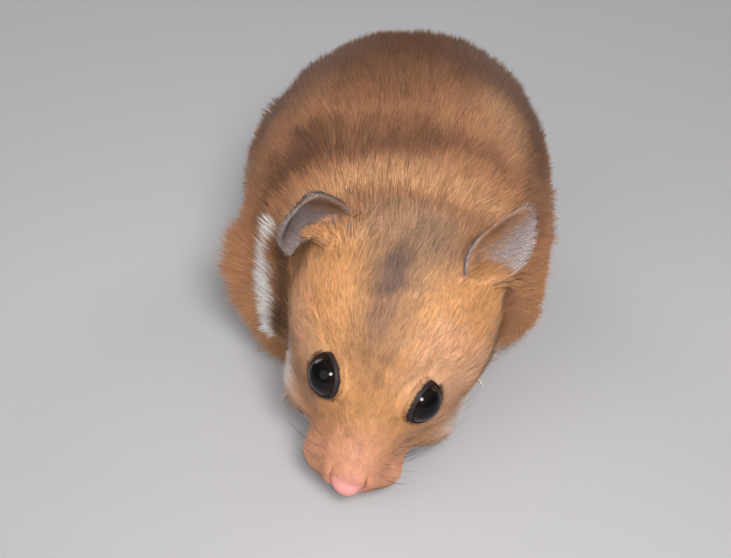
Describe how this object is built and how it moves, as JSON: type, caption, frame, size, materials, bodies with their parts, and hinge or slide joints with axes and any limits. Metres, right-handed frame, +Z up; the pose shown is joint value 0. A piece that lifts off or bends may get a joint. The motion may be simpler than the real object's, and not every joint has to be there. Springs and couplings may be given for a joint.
{
  "type": "syrian hamster",
  "caption": "Life-size still model of a golden hamster walking with its head low and its nose close to the floor.",
  "frame": {"origin": "on the floor, under the middle of the whole box", "axes": "+Z up, the animal faces -Y with its tail towards +Y, and its own left side is towards +X"},
  "size_m": [0.0604, 0.1114, 0.0542],
  "materials": {
    "coat": "soft dense golden-brown fur with dark ticking, grey-white bands and a pale belly",
    "ear_skin": "thin grey skin with fine short hairs",
    "bare_skin": "soft pink skin, satin",
    "eye": "wet black gloss",
    "claw": "translucent pale horn",
    "whisker": "thin dark and pale bristles"
  },
  "bodies": {
    "root": {"ear_left": "ear_skin", "ear_right": "ear_skin", "eye_left": "eye", "eye_right": "eye", "foreleg_left": "coat", "foreleg_right": "coat", "forepaw_left": "bare_skin", "forepaw_right": "bare_skin", "head": "coat", "hindfoot_left": "bare_skin", "hindfoot_right": "bare_skin", "hindleg_left": "coat", "hindleg_right": "coat", "lower_jaw": "coat", "neck": "coat", "nose": "bare_skin", "tail": "bare_skin", "trunk": "coat"}
  },
  "joints": []
}
